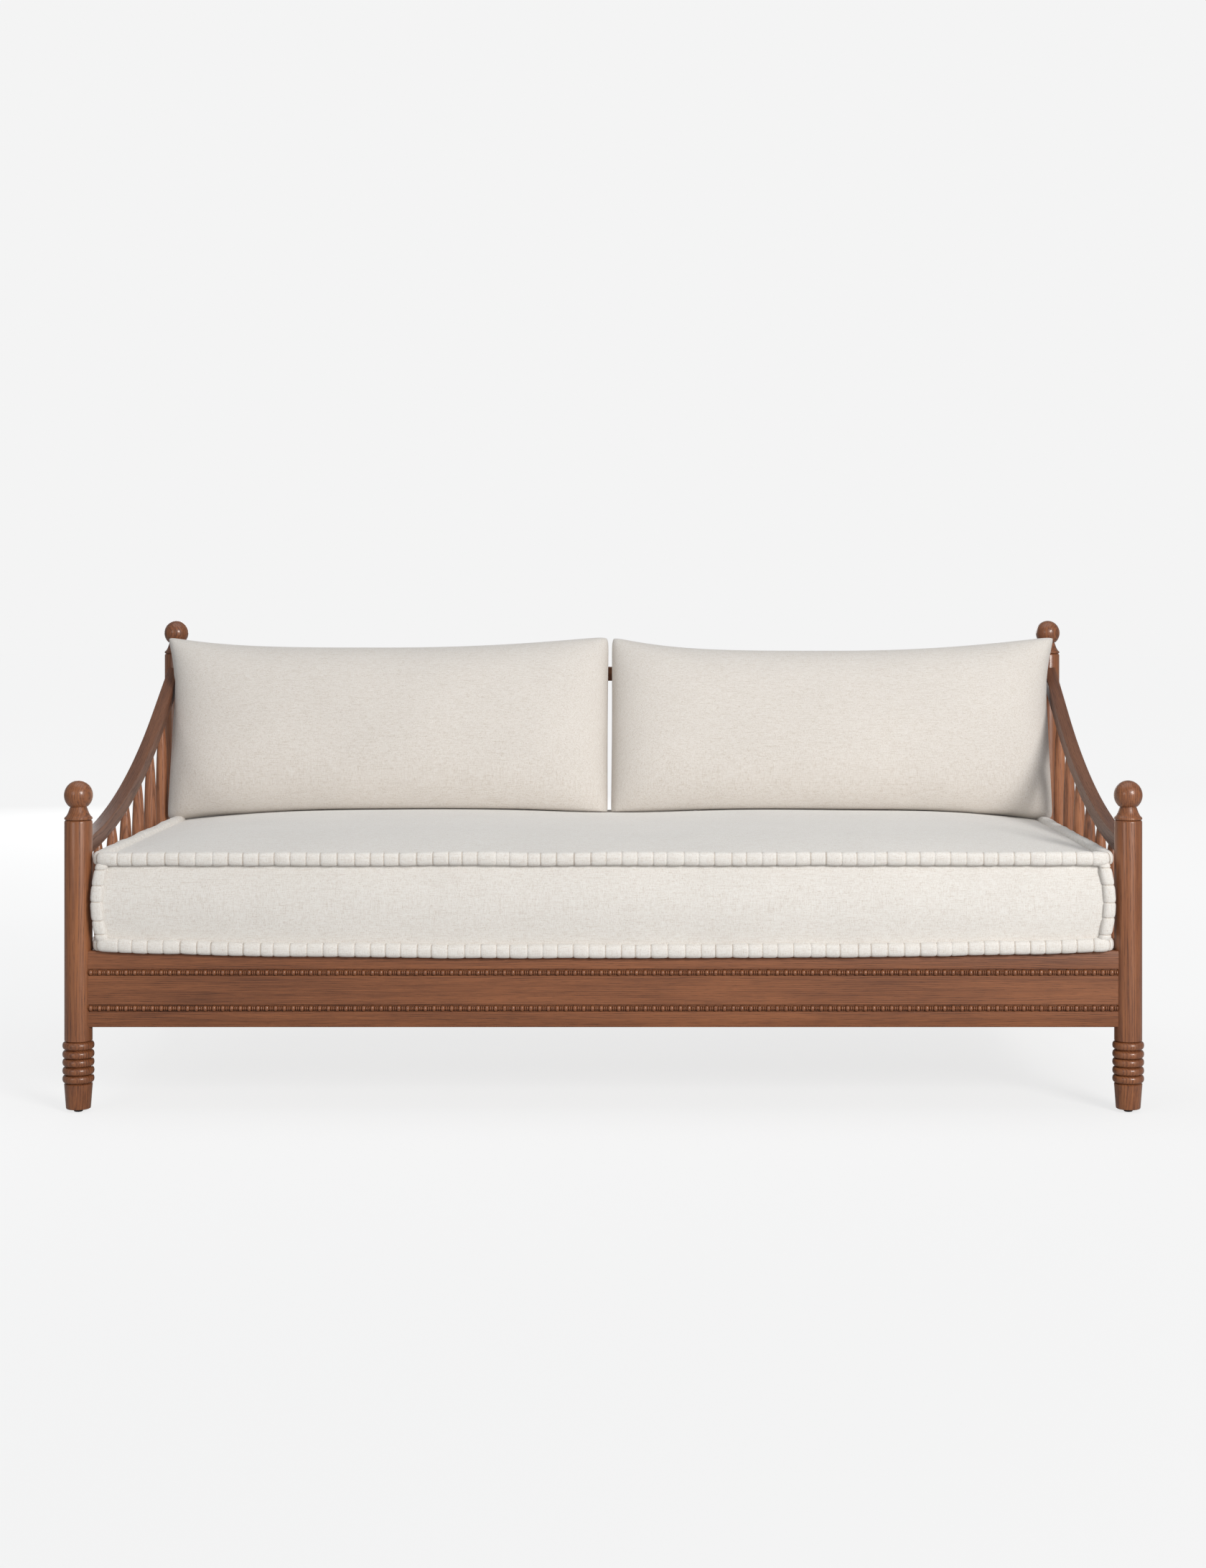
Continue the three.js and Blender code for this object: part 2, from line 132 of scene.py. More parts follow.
def split_by_camera_ray(tree, unseen, seen, out):
    """One shader for what the camera sees and another for the light that it gives."""
    path = tree.nodes.new("ShaderNodeLightPath")
    mix = tree.nodes.new("ShaderNodeMixShader")
    tree.links.new(path.outputs["Is Camera Ray"], mix.inputs["Fac"])
    tree.links.new(unseen.outputs[0], mix.inputs[1])
    tree.links.new(seen.outputs[0], mix.inputs[2])
    tree.links.new(mix.outputs[0], out.inputs["Surface"])


def make_floor():
    """A pale floor, with a glow of its own that fades up away from the lamps, so that it meets
    the backdrop without a line."""
    bpy.ops.mesh.primitive_plane_add(size=80, location=(0, 0, 0))
    floor = bpy.context.object
    floor.name = "floor"
    graph = Graph("floor")
    place = graph.tree.nodes.new("ShaderNodeTexCoord").outputs["Object"]
    length = graph.tree.nodes.new("ShaderNodeVectorMath")
    length.operation = "LENGTH"
    graph.link(graph.vector("SUBTRACT", place, LIT_CENTRE), length.inputs[0])
    far = graph.math("DIVIDE", length.outputs["Value"], GLOW_REACH)
    glow = graph.ramp(far, [(0.06, 0.675), (0.16, 0.715), (0.3, 0.78), (0.5, 0.82), (1, 0.845)])
    grey = (0.2, 0.2, 0.2, 1)
    graph.set(Base_Color=grey, Roughness=0.9, Specular_IOR_Level=0.0)
    graph.set(Emission_Color=glow, Emission_Strength=1.0)
    plain = graph.tree.nodes.new("ShaderNodeBsdfDiffuse")
    plain.inputs["Color"].default_value = (0.55, 0.55, 0.55, 1)
    out = graph.tree.nodes["Material Output"]
    split_by_camera_ray(graph.tree, plain, graph.shader, out)
    floor.data.materials.append(graph.material)


# ---------------------------------------------------------------- materials

class Graph:
    """A material's node tree, with short calls for the nodes that these materials use."""

    def __init__(self, name):
        self.material = bpy.data.materials.new(name)
        self.material.use_nodes = True
        self.tree = self.material.node_tree
        self.shader = self.tree.nodes["Principled BSDF"]

    def link(self, value, socket):
        if hasattr(value, "is_output"):
            self.tree.links.new(value, socket)
        else:
            socket.default_value = value

    def math(self, operation, a, b=0.0):
        node = self.tree.nodes.new("ShaderNodeMath")
        node.operation = operation
        self.link(a, node.inputs[0])
        self.link(b, node.inputs[1])
        return node.outputs[0]

    def vector(self, operation, a, b):
        node = self.tree.nodes.new("ShaderNodeVectorMath")
        node.operation = operation
        self.link(a, node.inputs[0])
        self.link(b, node.inputs[1])
        return node.outputs[0]

    def noise(self, place, stretch, detail=2.0, roughness=0.5, output="Fac"):
        node = self.tree.nodes.new("ShaderNodeTexNoise")
        self.link(self.vector("MULTIPLY", place, stretch), node.inputs["Vector"])
        node.inputs["Scale"].default_value = 1
        node.inputs["Detail"].default_value = detail
        node.inputs["Roughness"].default_value = roughness
        return node.outputs[output]

    def ramp(self, value, stops):
        """Colours, or greys given as numbers, at places from 0 to 1."""
        node = self.tree.nodes.new("ShaderNodeValToRGB")
        elements = node.color_ramp.elements
        while len(elements) < len(stops):
            elements.new(0.5)
        for element, (place, colour) in zip(elements, stops):
            element.position = place
            grey = isinstance(colour, (int, float))
            element.color = (*([colour] * 3 if grey else colour), 1)
        self.link(value, node.inputs["Fac"])
        return node.outputs["Color"]

    def mix(self, share, a, b, blend="MIX"):
        node = self.tree.nodes.new("ShaderNodeMix")
        node.data_type = "RGBA"
        node.blend_type = blend
        self.link(share, node.inputs["Factor"])
        for value, socket in ((a, node.inputs["A"]), (b, node.inputs["B"])):
            self.link(value, socket)
        return node.outputs["Result"]

    def bump(self, height, distance, strength=1.0):
        node = self.tree.nodes.new("ShaderNodeBump")
        node.inputs["Distance"].default_value = distance
        node.inputs["Strength"].default_value = strength
        self.link(height, node.inputs["Height"])
        self.tree.links.new(node.outputs["Normal"], self.shader.inputs["Normal"])

    def set(self, **values):
        for name, value in values.items():
            self.link(value, self.shader.inputs[name.replace("_", " ")])


def linear(red, green, blue):
    """A colour from its 0 to 255 screen values."""
    def one(value):
        value /= 255
        return value / 12.92 if value <= 0.04045 else ((value + 0.055) / 1.055) ** 2.4
    return (one(red), one(green), one(blue))


def wood(name, light, mid, dark, gloss=0.4, ring=4.2, coat=0.25):
    """Ring-porous wood, stained. The mesh's grain attribute gives each point's place in the
    tree in metres: two directions across the trunk and one along it."""
    graph = Graph(name)
    attribute = graph.tree.nodes.new("ShaderNodeAttribute")
    attribute.attribute_name = "grain"
    place = attribute.outputs["Vector"]

    wander = graph.noise(place, (9, 9, 1.6), detail=2, output="Color")
    wander = graph.vector("SUBTRACT", wander, (0.5, 0.5, 0.5))
    shifted = graph.vector("ADD", place, graph.vector("MULTIPLY", wander, (0.03, 0.03, 0)))
    across = graph.vector("MULTIPLY", shifted, (1, 1, 0))
    length = graph.tree.nodes.new("ShaderNodeVectorMath")
    length.operation = "LENGTH"
    graph.link(across, length.inputs[0])
    count = graph.math("DIVIDE", length.outputs["Value"], ring * MM)
    uneven = graph.noise(place, (60, 60, 2.5), detail=2)
    rings = graph.math("FRACT", graph.math("ADD", count, graph.math("MULTIPLY", uneven, 2.6)))
    bands = graph.ramp(rings, [(0, 0.25), (0.1, 0.05), (0.34, 0.6), (0.8, 1.0), (1, 0.4)])

    fibre = graph.noise(place, (430, 430, 13), detail=4, roughness=0.65)
    pores = graph.noise(place, (1100, 1100, 42), detail=1)
    pore_band = graph.ramp(rings, [(0, 0.8), (0.12, 1.0), (0.3, 0.25), (0.8, 0.12), (1, 0.7)])
    pores = graph.ramp(pores, [(0.52, 0.0), (0.6, 1.0)])
    pores = graph.math("MULTIPLY", pores, pore_band)
    streaks = graph.noise(place, (110, 110, 2.5), detail=2)
    patches = graph.noise(place, (15, 15, 3), detail=3)

    tone = graph.math("ADD", graph.math("MULTIPLY", bands, 0.15),
                      graph.math("MULTIPLY", fibre, 0.56))
    tone = graph.math("ADD", tone, graph.math("MULTIPLY", patches, 0.5))
    tone = graph.math("ADD", tone, graph.math("MULTIPLY", streaks, 0.3))
    colour = graph.ramp(tone, [(0.5, dark), (0.72, mid), (0.96, light)])
    colour = graph.mix(graph.math("MULTIPLY", pores, 0.5), colour,
                       (dark[0] * 0.45, dark[1] * 0.42, dark[2] * 0.45, 1))
    graph.set(Base_Color=colour)
    rough = graph.math("ADD", gloss, graph.math("MULTIPLY", fibre, 0.12))
    graph.set(Roughness=graph.math("ADD", rough, graph.math("MULTIPLY", pores, 0.2)))
    graph.set(Coat_Weight=coat, Coat_Roughness=0.15, Specular_IOR_Level=0.4)
    height = graph.math("SUBTRACT", graph.math("MULTIPLY", fibre, 0.3), pores)
    graph.bump(height, 0.00016, 0.5)
    return graph.material


def linen(name, warp, weft, slub):
    """Plain weave from heathered yarn: threads along each direction, some thicker or darker."""
    graph = Graph(name)
    coordinates = graph.tree.nodes.new("ShaderNodeTexCoord")
    place = coordinates.outputs["Object"]
    along_x = graph.noise(place, (90, 950, 950), detail=3, roughness=0.6)
    along_y = graph.noise(place, (950, 90, 950), detail=3, roughness=0.6)
    along_z = graph.noise(place, (950, 950, 90), detail=3, roughness=0.6)
    long_x = graph.noise(place, (24, 460, 460), detail=2)
    long_z = graph.noise(place, (460, 460, 24), detail=2)
    cloud = graph.noise(place, (6, 6, 6), detail=3)

    threads = graph.math("ADD", graph.math("ADD", along_x, along_y), along_z)
    threads = graph.math("DIVIDE", threads, 3.0)
    colour = graph.ramp(threads, [(0.36, slub), (0.5, warp), (0.64, weft)])
    dark_threads = graph.ramp(long_x, [(0.58, 0.0), (0.72, 1.0)])
    dark_uprights = graph.ramp(long_z, [(0.58, 0.0), (0.72, 1.0)])
    marks = graph.math("MAXIMUM", dark_threads, dark_uprights)
    colour = graph.mix(graph.math("MULTIPLY", marks, 0.32), colour, (*slub, 1))
    shade = graph.ramp(cloud, [(0.3, 0.965), (0.7, 1.0)])
    colour = graph.mix(1.0, colour, shade, blend="MULTIPLY")
    graph.set(Base_Color=colour)
    graph.set(Roughness=graph.ramp(threads, [(0.4, 0.98), (0.6, 0.82)]))
    graph.set(Sheen_Weight=0.25, Sheen_Roughness=0.5, Specular_IOR_Level=0.12)
    weave = graph.math("ADD", threads, graph.math("MULTIPLY", marks, 0.2))
    graph.bump(weave, 0.0009, 0.45)
    return graph.material


def plastic(name, colour):
    """Moulded plastic with a fine grit and light scuffs."""
    graph = Graph(name)
    place = graph.tree.nodes.new("ShaderNodeTexCoord").outputs["Object"]
    grit = graph.noise(place, (900, 900, 900), detail=3)
    scuff = graph.noise(place, (120, 120, 400), detail=4)
    graph.set(Base_Color=graph.ramp(scuff, [(0.4, colour), (0.75, tuple(c * 2.2 for c in colour))]))
    graph.set(Roughness=graph.ramp(grit, [(0.3, 0.42), (0.7, 0.62)]))
    graph.bump(grit, 0.0002, 0.4)
    return graph.material


def steel(name):
    """Bright steel with a fine grain."""
    graph = Graph(name)
    place = graph.tree.nodes.new("ShaderNodeTexCoord").outputs["Object"]
    grit = graph.noise(place, (1500, 1500, 1500), detail=3)
    graph.set(Base_Color=graph.ramp(grit, [(0.3, (0.42, 0.4, 0.36)), (0.7, (0.62, 0.6, 0.55))]))
    graph.set(Metallic=1.0)
    graph.set(Roughness=graph.ramp(grit, [(0.3, 0.28), (0.7, 0.45)]))
    graph.bump(grit, 0.0001, 0.3)
    return graph.material


POST_WOOD = wood("post_wood", linear(155, 98, 60), linear(127, 77, 48), linear(72, 40, 26),
                 gloss=0.32, coat=0.42)
# The spindles' wood is painted lighter than the post wood: painted light for the lamp light that
# falls on their fronts.
SPINDLE_WOOD_PAINTED_LIGHT = wood("spindle_wood", linear(174, 115, 78), linear(144, 91, 61),
                    linear(84, 50, 34), gloss=0.34, coat=0.3)
RAIL_WOOD = wood("rail_wood", linear(146, 91, 57), linear(122, 74, 46), linear(74, 42, 27),
                 gloss=0.44, ring=3.4, coat=0.12)
ARM_WOOD = wood("arm_wood", linear(124, 80, 54), linear(102, 63, 43), linear(62, 37, 26),
                gloss=0.42, ring=3.0, coat=0.15)
BEAD_WOOD = wood("bead_wood", linear(146, 93, 60), linear(134, 83, 53), linear(112, 68, 44),
                 gloss=0.26, ring=6.0, coat=0.7)
BARE_WOOD = wood("bare_wood", linear(205, 176, 135), linear(190, 156, 112), linear(160, 122, 80),
                 gloss=0.62, ring=5.0, coat=0.0)
LINEN = linen("linen", linear(227, 223, 217), linear(234, 232, 228), linear(202, 191, 181))
# The cushions' linen is a little more beige than the mattress linen, and darker as painted shade for
# the lesser light that reaches the leaning cushions.
CUSHION_LINEN_PAINTED_SHADE = linen("cushion_linen", linear(221, 215, 208), linear(229, 225, 220),
                      linear(193, 181, 168))
# The stitch thread is darker than the linen as painted shade for the groove that each stitch pulls
# into the roll.
THREAD_PAINTED_SHADE = linen("stitch_thread_painted_shade", linear(204, 192, 179), linear(218, 208, 197), linear(178, 164, 149))
GLIDE_BLACK = plastic("glide_black", (0.012, 0.012, 0.013))
SCREW_STEEL = steel("screw_steel")


# ---------------------------------------------------------------- meshes

class Board:
    """Where a piece of wood sat in the tree, drawn from its name, so each has its own figure."""

    def __init__(self, name, pith=(45, 120)):
        draw = random.Random(name)
        self.turn = draw.uniform(0, math.tau)
        self.off = Vector((draw.uniform(*pith), draw.uniform(-12, 12)))
        self.start = draw.uniform(0, 4000)

    def grain(self, a, b, along):
        """The place in the tree, in metres, of a point given across and along the piece."""
        c, s = math.cos(self.turn), math.sin(self.turn)
        return ((c * a - s * b + self.off.x) * MM, (s * a + c * b + self.off.y) * MM,
                (along + self.start) * MM)


def add_piece(name, points, faces, material, *, nodes=(), slot=None, body="frame",
              grain=None, sharp=35):
    """A mesh from millimetre points, riding on a body, in place of the CAD nodes named."""
    mesh = bpy.data.meshes.new(name)
    mesh.from_pydata([Vector(point) * MM for point in points], [], faces)
    if grain:
        values = mesh.attributes.new("grain", "FLOAT_VECTOR", "POINT").data
        values.foreach_set("vector", [value for place in grain for value in place])
    work = bmesh.new()
    work.from_mesh(mesh)
    bmesh.ops.recalc_face_normals(work, faces=work.faces)
    work.to_mesh(mesh)
    work.free()
    mesh.shade_smooth()
    mesh.set_sharp_from_angle(angle=math.radians(sharp))
    mesh.materials.append(material)
    piece = bpy.data.objects.new(name, mesh)
    bpy.context.collection.objects.link(piece)
    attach(piece, body)
    if nodes:
        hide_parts(*nodes)
    return piece


def revolve(profile, sides):
    """Points round the Z axis and faces, from [radius, height] pairs."""
    points, faces, rows = [], [], []
    for radius, height in profile:
        count = 1 if radius < 1e-6 else sides
        rows.append(range(len(points), len(points) + count))
        for i in range(count):
            angle = math.tau * i / sides
            points.append((radius * math.cos(angle), radius * math.sin(angle), height))
    for low, high in zip(rows, rows[1:]):
        for i in range(sides):
            j = (i + 1) % sides
            loop = [low[i % len(low)], low[j % len(low)], high[j % len(high)], high[i % len(high)]]
            face = list(dict.fromkeys(loop))
            if len(face) > 2:
                faces.append(face)
    return points, faces


def add_turned(name, profile, sides, centre, material, **how):
    points, faces = revolve(profile, sides)
    board = Board(name)
    grain = [board.grain(*point) for point in points]
    placed = [(x + centre[0], y + centre[1], z) for x, y, z in points]
    return add_piece(name, placed, faces, material, grain=grain, **how)


def smooth_curve(stops, steps):
    """A curve through [place, value] stops, with steps points between each pair."""
    found = []
    for i in range(len(stops) - 1):
        before, after = stops[max(i - 1, 0)], stops[min(i + 2, len(stops) - 1)]
        (x0, y0), (x1, y1) = stops[i], stops[i + 1]
        slope0 = (y1 - before[1]) / (x1 - before[0])
        slope1 = (after[1] - y0) / (after[0] - x0)
        for k in range(steps):
            t = k / steps
            width = x1 - x0
            value = ((2 * t**3 - 3 * t**2 + 1) * y0 + (t**3 - 2 * t**2 + t) * width * slope0
                     + (3 * t**2 - 2 * t**3) * y1 + (t**3 - t**2) * width * slope1)
            found.append((x0 + t * width, value))
    found.append(tuple(stops[-1]))
    return found


def arc(centre, radius, start, end, steps):
    """Points [radius, height] on an arc, angles in degrees from the horizontal."""
    found = []
    for i in range(steps + 1):
        angle = math.radians(start + (end - start) * i / steps)
        found.append((centre[0] + radius * math.cos(angle), centre[1] + radius * math.sin(angle)))
    return found


# ---------------------------------------------------------------- posts and finials

POST_R = 26.3
GROOVE_R = 23.1  # between the rings
RING_PROUD = 6.8
RING_HEIGHTS = (63, 78.5, 94.5, 110, 126.5)


def post_profile(foot, top):
    """Radii and heights of a post: a tapered foot, five rings and a plain shaft."""
    profile = [(0, foot), (21.8, foot), (22.8, foot + 0.6), (23.3, foot + 2.2), (26.7, 53)]
    for height in RING_HEIGHTS:
        profile.append((22.9, height - 7.8))
        for degrees in (-88, -72, -52, -28, -4, 20, 44, 66, 86):
            angle = math.radians(degrees)
            lift = abs(math.cos(angle)) ** 0.6
            profile.append((GROOVE_R + RING_PROUD * lift, height + 7.1 * math.sin(angle)))
    last = RING_HEIGHTS[-1]
    profile += [(GROOVE_R, last + 7.8), (24.6, last + 8.6), (POST_R, last + 9.6)]
    profile += [(POST_R, top - 3.4), (25.9, top - 1.8), (24.9, top - 0.6), (23.6, top), (0, top)]
    return profile


def finial_profile(base):
    """Radii and heights of a finial: a ring, a curved neck and a ball."""
    ball_r, ball_z, ball_stretch = 27, 47.4, 1.04
    profile = [(0, 0.2), (23.2, 0.2), (24.6, 0.5), (26.0, 1.6), (26.6, 3.2), (26.2, 4.8),
               (25.2, 6.0), (23.6, 7.2)]
    neck = smooth_curve([(7.2, 23.6), (10, 21.7), (14, 19.6), (18, 18.1), (22, 16.7),
                         (25.2, 15.5)], 2)
    profile += [(radius, height) for height, radius in neck[1:]]
    profile += [(15.2, 26.4), (15.6, 26.9)]
    ball = arc((0, ball_z), ball_r, -49, 90, 18)
    profile += [(radius, ball_z + (height - ball_z) * ball_stretch)
                for radius, height in ball[:-1]]
    profile.append((0, ball_z + ball_r * ball_stretch))
    return [(radius, base + height) for radius, height in profile]


def make_posts():
    for end in ("front", "back"):
        for hand in ("left", "right"):
            place = f"{end}_{hand}"
            low, high = corners(f"post_{place}")
            centre = middle(f"post_{place}")
            add_turned(f"turned_post_{place}", post_profile(low.z, high.z), 72, centre, POST_WOOD,
                       nodes=[f"post_{place}"], slot="post", sharp=50)
            add_turned(f"turned_finial_{place}", finial_profile(high.z), 72, centre, POST_WOOD,
                       nodes=[f"finial_{place}"], slot="finial", sharp=50)
            top = low.z - 0.2
            glide = [(0, 0), (6.8, 0), (8.0, 0.5), (8.5, 1.6), (8.5, top), (1.5, top), (0, top)]
            add_turned(f"glide_pad_{place}", glide, 40, centre, GLIDE_BLACK,
                       nodes=[f"glide_{place}"], slot="glide")


# ---------------------------------------------------------------- rails

def eased_box(low, high, ease, steps=3):
    """Points and faces of a box with rounded edges."""
    work = bmesh.new()
    bmesh.ops.create_cube(work, size=1)
    size, centre = Vector(high) - Vector(low), (Vector(high) + Vector(low)) / 2
    for vert in work.verts:
        vert.co = Vector([vert.co[i] * size[i] + centre[i] for i in range(3)])
    bmesh.ops.bevel(work, geom=work.edges[:], offset=ease, segments=steps, profile=0.5,
                    affect="EDGES")
    points = [tuple(vert.co) for vert in work.verts]
    faces = [[vert.index for vert in face.verts] for face in work.faces]
    work.free()
    return points, faces


def along_axis(point, axis):
    """A point's two directions across a piece and the one along it."""
    others = [value for i, value in enumerate(point) if i != axis]
    return (*others, point[axis])


def add_bar(name, low, high, axis, material, *, ease=2.0, pith=(45, 120), **how):
    points, faces = eased_box(low, high, ease)
    board = Board(name, pith)
    centre = (Vector(low) + Vector(high)) / 2
    grain = [board.grain(*along_axis(Vector(point) - centre, axis)) for point in points]
    return add_piece(name, points, faces, material, grain=grain, **how)


def extrude_x(outline, xs):
    """Points and faces of an outline in Y and Z, repeated at each X, closed at both ends."""
    points = [(x, y, z) for x in xs for y, z in outline]
    count = len(outline)
    faces = []
    for k in range(len(xs) - 1):
        for i in range(count):
            j = (i + 1) % count
            faces.append([k * count + i, k * count + j, (k + 1) * count + j, (k + 1) * count + i])
    faces.append(list(range(count)))
    faces.append([(len(xs) - 1) * count + i for i in range(count)])
    return points, faces


def front_rail_outline(front, back, bottom, top, seats):
    """The rail's section: three flat bands with a sunk seat for each moulding."""
    outline = [(back - 1.5, bottom), (back, bottom + 1.5), (back, top - 1.5), (back - 1.5, top)]
    face = front - 0.6
    outline += [(face + 2.2, top), (face + 0.7, top - 0.7), (face, top - 2.2)]
    for seat in sorted(seats, reverse=True):
        outline += [(face, seat + 7.4), (face + 0.5, seat + 6.7), (face + 3.6, seat + 6.3)]
        outline += [(face + 3.6, seat - 6.0), (front + 0.5, seat - 6.2), (front, seat - 6.8)]
        face = front
    outline += [(face, bottom + 2.0), (face + 0.6, bottom + 0.6), (face + 2.0, bottom)]
    return outline


def make_front_rail():
    low, high = corners("front_rail")
    seats = [middle("moulding_upper").z, middle("moulding_lower").z]
    outline = front_rail_outline(low.y, high.y, low.z, high.z, seats)
    inner = high.x - 8
    points, faces = extrude_x(outline, [-inner, inner])
    board = Board("front_rail_board", (60, 90))
    grain = [board.grain(y - low.y, z - low.z, x) for x, y, z in points]
    add_piece("front_rail_board", points, faces, RAIL_WOOD, nodes=["front_rail"], slot="rail",
              grain=grain, sharp=30)


BEAD_PERIOD = 16.72  # one bead and two reels


def bead_row(period):
    """Places and radii along one bead and its two reels."""
    row = []
    # Each is a centre, a half length, a radius and a count of points, on a length of 17.
    parts = ((4.7, 4.7, 5.7, 11), (11.45, 1.9, 4.5, 7), (15.15, 1.75, 4.4, 7))
    for centre, half, radius, steps in parts:
        for i in range(steps):
            t = math.sin(math.pi / 2 * (-0.93 + 1.86 * i / (steps - 1)))
            row.append((centre + half * t, radius * (1 - t * t) ** (0.5 if steps == 11 else 0.4)))
    return [(x * period / 17, radius) for x, radius in row]


def make_moulding(which):
    """A moulding's row of beads and reels: the front of a turned form, set in its seat."""
    low, high = corners(f"moulding_{which}")
    axis_y = corners("front_rail")[0].y + 1.2
    axis_z = (low.z + high.z) / 2
    count = round((high.x - low.x) / BEAD_PERIOD)
    period = (high.x - low.x + 2.4) / count
    sections = []
    for i in range(count):
        start = low.x - 1.2 + i * period
        sections += [(start + x, radius) for x, radius in bead_row(period)]
    turns = 12
    points, faces = [], []
    for x, radius in sections:
        for k in range(turns + 1):
            angle = math.radians(-112 + 224 * k / turns)
            points.append((x, axis_y - radius * math.cos(angle), axis_z + radius * math.sin(angle)))
    row = turns + 1
    for i in range(len(sections) - 1):
        for k in range(turns):
            a = i * row + k
            faces.append([a, a + 1, a + row + 1, a + row])
    board = Board(f"bead_and_reel_{which}")
    grain = [board.grain(y - axis_y, z - axis_z, x) for x, y, z in points]
    add_piece(f"bead_and_reel_{which}", points, faces, BEAD_WOOD, nodes=[f"moulding_{which}"],
              slot="moulding", grain=grain, sharp=60)


def make_rails():
    make_front_rail()
    make_moulding("upper")
    make_moulding("lower")
    for node in ("back_lower_rail", "back_top_rail"):
        low, high = corners(node)
        low.x, high.x = low.x + 8, high.x - 8
        add_bar(f"{node}_board", low, high, 0, RAIL_WOOD, nodes=[node], slot="rail",
                ease=2.4, pith=(60, 90))
    for hand in ("left", "right"):
        node = f"side_rail_{hand}"
        low, high = corners(node)
        low.y, high.y = low.y + 8, high.y - 8
        add_bar(f"{node}_board", low, high, 1, RAIL_WOOD, nodes=[node], slot="rail",
                ease=2.0, pith=(60, 90))


# ---------------------------------------------------------------- arms and spindles

ARM_RADIUS = 1800
ARM_LOW_Y, ARM_LOW_Z = -575, 512.5
ARM_ARC_END = math.radians(27.9)
ARM_THICK = 32


def arm_top(y):
    """Height and slope angle of an arm's top edge."""
    arc_end = ARM_LOW_Y + ARM_RADIUS * math.sin(ARM_ARC_END)
    angle = math.asin((min(y, arc_end) - ARM_LOW_Y) / ARM_RADIUS)
    height = ARM_LOW_Z + ARM_RADIUS * (1 - math.cos(angle))
    return height + max(0, y - arc_end) * math.tan(ARM_ARC_END), angle


def rounded_section(width, tall, ease, steps=3):
    """An outline round a rectangle with rounded corners, hung from the middle of its top."""
    outline = []
    for cx, cz, start in ((1, 0, 0), (-1, 0, 90), (-1, -1, 180), (1, -1, 270)):
        x0 = cx * (width / 2 - ease)
        z0 = -ease if cz == 0 else -tall + ease
        for i in range(steps + 1):
            angle = math.radians(start + 90 * i / steps)
            outline.append((x0 + ease * math.cos(angle), z0 + ease * math.sin(angle)))
    return outline


def make_arm(hand):
    node = f"arm_{hand}"
    low, high = corners(node)
    x0 = (low.x + high.x) / 2
    outline = rounded_section(high.x - low.x, ARM_THICK, 3.2)
    board = Board(f"{node}_bow", (70, 110))
    reach, steps = 470, 72
    points, grain, faces = [], [], []
    length, last = 0, None
    for k in range(steps + 1):
        y = -reach + 2 * reach * k / steps
        z, angle = arm_top(y)
        here = Vector((0, y, z))
        length += (here - last).length if last else 0
        last = here
        for across, down in outline:
            points.append((x0 + across, y - down * math.sin(angle), z + down * math.cos(angle)))
            grain.append(board.grain(across, down, length))
    count = len(outline)
    for k in range(steps):
        for i in range(count):
            j = (i + 1) % count
            faces.append([k * count + i, k * count + j, (k + 1) * count + j, (k + 1) * count + i])
    faces.append(list(range(count)))
    faces.append([steps * count + i for i in range(count)])
    add_piece(f"{node}_bow", points, faces, ARM_WOOD, nodes=[node], slot="arm", grain=grain,
              sharp=30)


SPINDLE_SHAPE = [(0, 7.5), (0.2, 11.5), (0.45, 13.75), (0.65, 13), (0.85, 10.4), (1, 5.75)]


def make_spindle(node, pin=12):
    low, high = corners(node)
    bottom, top = low.z + pin, high.z - pin
    shape = smooth_curve(SPINDLE_SHAPE, 6)
    profile = [(0, bottom - 4), (SPINDLE_SHAPE[0][1], bottom - 4)]
    profile += [(radius, bottom + share * (top - bottom)) for share, radius in shape]
    profile += [(SPINDLE_SHAPE[-1][1], top + 6), (0, top + 6)]
    add_turned(f"turned_{node}", profile, 32, middle(node), SPINDLE_WOOD_PAINTED_LIGHT, nodes=[node],
               slot="spindle", sharp=60)


def make_sides_and_back():
    for hand in ("left", "right"):
        make_arm(hand)
        for i in range(1, 7):
            make_spindle(f"arm_spindle_{hand}_{i}")
    for i in range(1, 13):
        make_spindle(f"back_spindle_{i}")


# ---------------------------------------------------------------- slatted base

def make_base():
    """Two cleats, ten slats and four screws in each slat."""
    for end in ("front", "back"):
        low, high = corners(f"cleat_{end}")
        add_bar(f"cleat_{end}_batten", low, high, 0, BARE_WOOD, nodes=[f"cleat_{end}"],
                slot="base_wood", ease=1.5)
    screws = []
    for i in range(1, 11):
        low, high = corners(f"slat_{i}")
        add_bar(f"slat_{i}_board", low, high, 1, BARE_WOOD, nodes=[f"slat_{i}"],
                slot="base_wood", ease=2.5, pith=(30, 90))
        for y in (low.y + 18, high.y - 18):
            for x in (low.x + 22, high.x - 22):
                screws.append((x, y, high.z))
    points, faces = [], []
    head, head_faces = revolve([(0, -2.6), (1.1, -2.2), (1.3, -0.5), (3.6, 0.1), (3.4, 0.5),
                                (0, 0.6)], 16)
    for x, y, z in screws:
        start = len(points)
        points += [(x + a, y + b, z + c) for a, b, c in head]
        faces += [[start + i for i in face] for face in head_faces]
    add_piece("slat_screws", points, faces, SCREW_STEEL, slot="glide")


# ---------------------------------------------------------------- mattress

MATTRESS_LOW, MATTRESS_HIGH = corners("mattress")
ROLL_R = 13.5
ROLL_IN_X = MATTRESS_HIGH.x - 6
ROLL_FRONT = MATTRESS_LOW.y + 8
ROLL_BACK = MATTRESS_HIGH.y - 12
PANEL_EDGE = 484.5
PANEL_CROWN = 33
BOTTOM_ROLL_Z = MATTRESS_LOW.z + ROLL_R - 1


